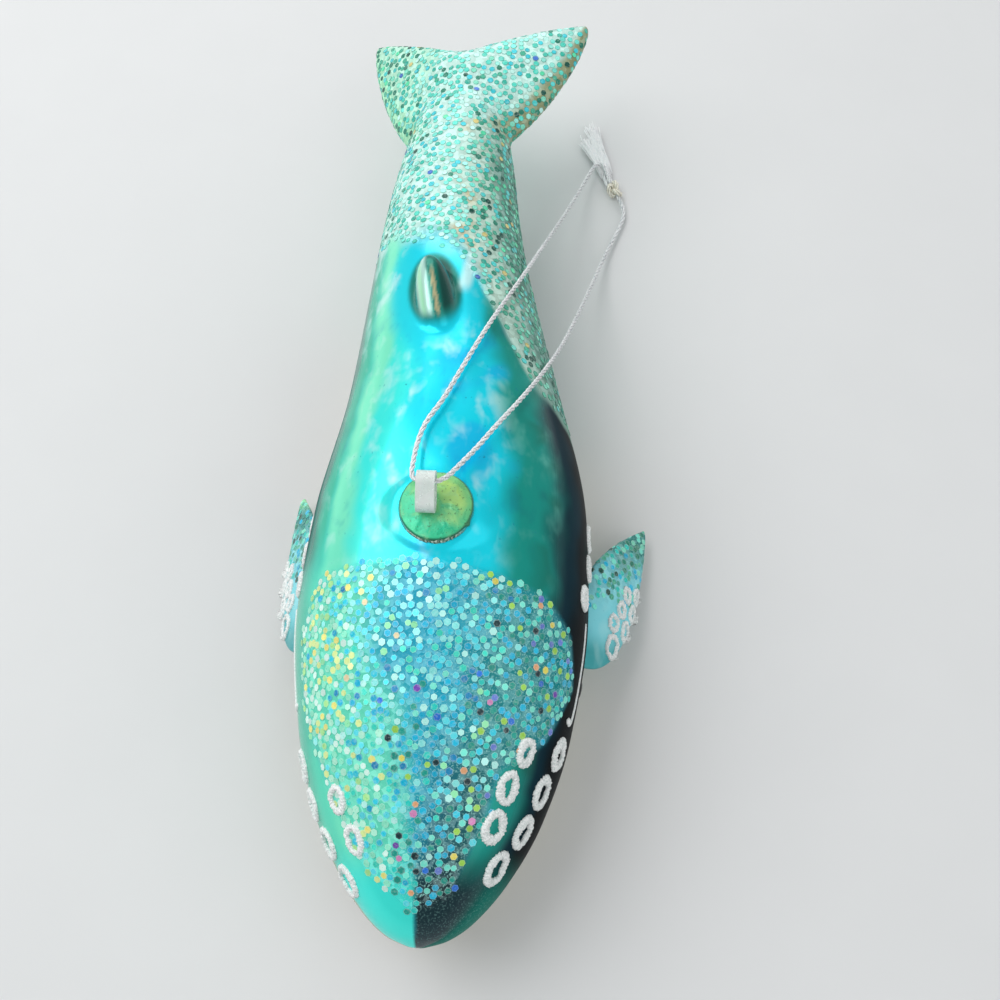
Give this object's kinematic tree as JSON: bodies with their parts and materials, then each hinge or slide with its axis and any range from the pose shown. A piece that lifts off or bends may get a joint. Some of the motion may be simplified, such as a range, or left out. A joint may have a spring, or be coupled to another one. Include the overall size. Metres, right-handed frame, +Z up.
{
  "type": "hanging whale figurine",
  "caption": "Hollow blown-glass humpback whale ornament with glued flippers, piped barnacle rings, a neck cap, a clear hanger loop and a tied silver cord.",
  "frame": {"origin": "on the surface that the belly rests on, under the middle of the neck cap", "axes": "+Z up, -Y the way the whale looks, +Y to the tail, +X the whale's own left side"},
  "size_m": [0.0566, 0.1536, 0.0403],
  "materials": {
    "lacquered_glass": "silvered inside, clear teal and green lacquer outside, with glitter on the head and tail",
    "green_cap": "transparent yellow-green lacquer, worn at the rim",
    "clear_glue": "grainy dried glue bead",
    "clear_loop": "translucent moulded loop",
    "white_enamel": "piped white relief paint with fine grain",
    "black_enamel": "glossy enamel dot",
    "silver_cord": "twisted metallic silver thread"
  },
  "bodies": {
    "ornament": {"glass_body": "lacquered_glass", "left_flipper": "lacquered_glass", "right_flipper": "lacquered_glass", "cap": "green_cap", "cap_bead": "clear_glue", "hanger_loop": "clear_loop", "left_head_barnacles": "white_enamel", "right_head_barnacles": "white_enamel", "left_flank_barnacles": "white_enamel", "right_flank_barnacles": "white_enamel", "left_flipper_barnacles": "white_enamel", "right_flipper_barnacles": "white_enamel", "left_throat_line": "white_enamel", "right_throat_line": "white_enamel", "left_eye": "black_enamel", "right_eye": "black_enamel"},
    "hanging_loop": {"cord_loop": "silver_cord", "cord_knot": "silver_cord", "cord_tails": "silver_cord"}
  },
  "joints": [
    {"name": "loop_swing", "type": "hinge", "parent": "ornament", "child": "hanging_loop", "pos_m": [-0.0011, 0.00189, 0.0389], "axis": [1, 0, 0], "range_deg": [0, 115]}
  ]
}
